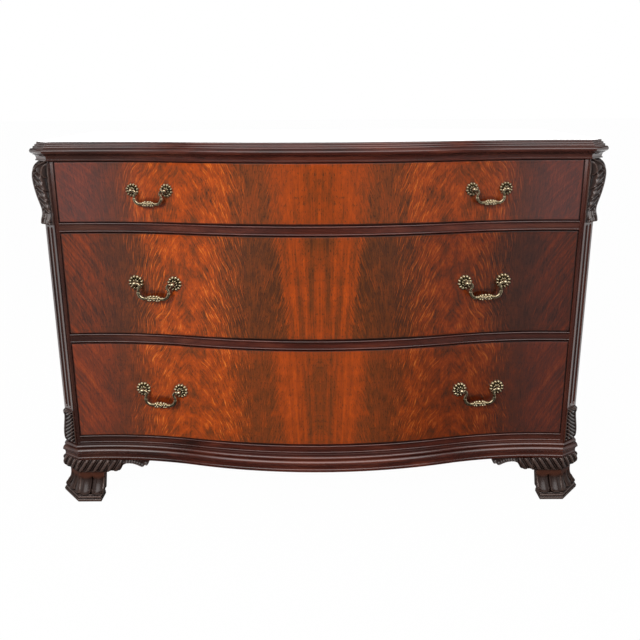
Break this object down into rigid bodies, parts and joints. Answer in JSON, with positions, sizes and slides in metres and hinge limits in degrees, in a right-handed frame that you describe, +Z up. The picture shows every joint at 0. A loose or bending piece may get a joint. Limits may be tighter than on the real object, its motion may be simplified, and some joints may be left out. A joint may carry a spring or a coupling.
{
  "type": "serpentine chest of drawers",
  "caption": "Mahogany chest with a serpentine front, flame-veneered drawers on brass swan-neck bails, fluted canted corners, carved corbels and gadrooned feet.",
  "frame": {"origin": "on the floor, under the middle of the chest's outline", "axes": "+X to the viewer's right along the width, +Y to the back, +Z up; the drawers open towards -Y"},
  "size_m": [1.28, 0.5599, 0.852],
  "materials": {
    "flame_mahogany": "gloss lacquer over crotch veneer",
    "polished_mahogany": "satin gloss lacquer",
    "carved_mahogany": "satin lacquer, worn on the edges",
    "drawer_lining": "bare planed wood",
    "inner_timber": "bare sawn wood",
    "antique_brass": "aged, darkened in the hollows"
  },
  "bodies": {
    "case": {"back_panel": "inner_timber", "base_moulding_front": "polished_mahogany", "base_moulding_left": "polished_mahogany", "base_moulding_right": "polished_mahogany", "bottom_front_rail": "polished_mahogany", "drawer_stops": "inner_timber", "dust_boards": "inner_timber", "glue_blocks": "inner_timber", "left_foot_wings": "carved_mahogany", "left_front_foot": "carved_mahogany", "left_front_post": "polished_mahogany", "left_lower_leaf": "carved_mahogany", "left_rear_foot": "polished_mahogany", "left_rear_post": "polished_mahogany", "left_side_panel": "polished_mahogany", "left_upper_corbel": "carved_mahogany", "lower_divider_rail": "polished_mahogany", "rear_rails": "inner_timber", "right_foot_wings": "carved_mahogany", "right_front_foot": "carved_mahogany", "right_front_post": "polished_mahogany", "right_lower_leaf": "carved_mahogany", "right_rear_foot": "polished_mahogany", "right_rear_post": "polished_mahogany", "right_side_panel": "polished_mahogany", "right_upper_corbel": "carved_mahogany", "runners_and_kickers": "inner_timber", "top_board": "polished_mahogany", "top_front_rail": "polished_mahogany", "top_moulding_front": "polished_mahogany", "top_moulding_left": "polished_mahogany", "top_moulding_right": "polished_mahogany", "upper_divider_rail": "polished_mahogany"},
    "lower_drawer": {"lower_drawer_back": "drawer_lining", "lower_drawer_bottom": "drawer_lining", "lower_drawer_front": "flame_mahogany", "lower_drawer_sides": "drawer_lining", "lower_handle_nuts": "antique_brass", "lower_handle_posts": "antique_brass", "lower_handle_rosettes": "antique_brass"},
    "lower_left_bail": {"lower_left_bail": "antique_brass"},
    "lower_right_bail": {"lower_right_bail": "antique_brass"},
    "middle_drawer": {"middle_drawer_back": "drawer_lining", "middle_drawer_bottom": "drawer_lining", "middle_drawer_front": "flame_mahogany", "middle_drawer_sides": "drawer_lining", "middle_handle_nuts": "antique_brass", "middle_handle_posts": "antique_brass", "middle_handle_rosettes": "antique_brass"},
    "middle_left_bail": {"middle_left_bail": "antique_brass"},
    "middle_right_bail": {"middle_right_bail": "antique_brass"},
    "upper_drawer": {"upper_drawer_back": "drawer_lining", "upper_drawer_bottom": "drawer_lining", "upper_drawer_front": "flame_mahogany", "upper_drawer_sides": "drawer_lining", "upper_handle_nuts": "antique_brass", "upper_handle_posts": "antique_brass", "upper_handle_rosettes": "antique_brass"},
    "upper_left_bail": {"upper_left_bail": "antique_brass"},
    "upper_right_bail": {"upper_right_bail": "antique_brass"}
  },
  "joints": [
    {"name": "lower_drawer_slide", "type": "slide", "parent": "case", "child": "lower_drawer", "axis": [0, -1, 0], "range_m": [0, 0.36]},
    {"name": "lower_left_bail_hinge", "type": "hinge", "parent": "lower_drawer", "child": "lower_left_bail", "pos_m": [-0.37066, -0.22298, 0.28775], "axis": [-0.9864, 0.1645, 0], "range_deg": [-12, 90]},
    {"name": "lower_right_bail_hinge", "type": "hinge", "parent": "lower_drawer", "child": "lower_right_bail", "pos_m": [0.37066, -0.22298, 0.28775], "axis": [-0.9864, -0.1645, 0], "range_deg": [-12, 90]},
    {"name": "middle_drawer_slide", "type": "slide", "parent": "case", "child": "middle_drawer", "axis": [0, -1, 0], "range_m": [0, 0.36]},
    {"name": "middle_left_bail_hinge", "type": "hinge", "parent": "middle_drawer", "child": "middle_left_bail", "pos_m": [-0.37066, -0.22298, 0.5435], "axis": [-0.9864, 0.1645, 0], "range_deg": [-12, 90]},
    {"name": "middle_right_bail_hinge", "type": "hinge", "parent": "middle_drawer", "child": "middle_right_bail", "pos_m": [0.37066, -0.22298, 0.5435], "axis": [-0.9864, -0.1645, 0], "range_deg": [-12, 90]},
    {"name": "upper_drawer_slide", "type": "slide", "parent": "case", "child": "upper_drawer", "axis": [0, -1, 0], "range_m": [0, 0.36]},
    {"name": "upper_left_bail_hinge", "type": "hinge", "parent": "upper_drawer", "child": "upper_left_bail", "pos_m": [-0.37026, -0.22056, 0.74975], "axis": [-0.9864, 0.1645, 0], "range_deg": [-12, 90]},
    {"name": "upper_right_bail_hinge", "type": "hinge", "parent": "upper_drawer", "child": "upper_right_bail", "pos_m": [0.37026, -0.22056, 0.74975], "axis": [-0.9864, -0.1645, 0], "range_deg": [-12, 90]}
  ]
}
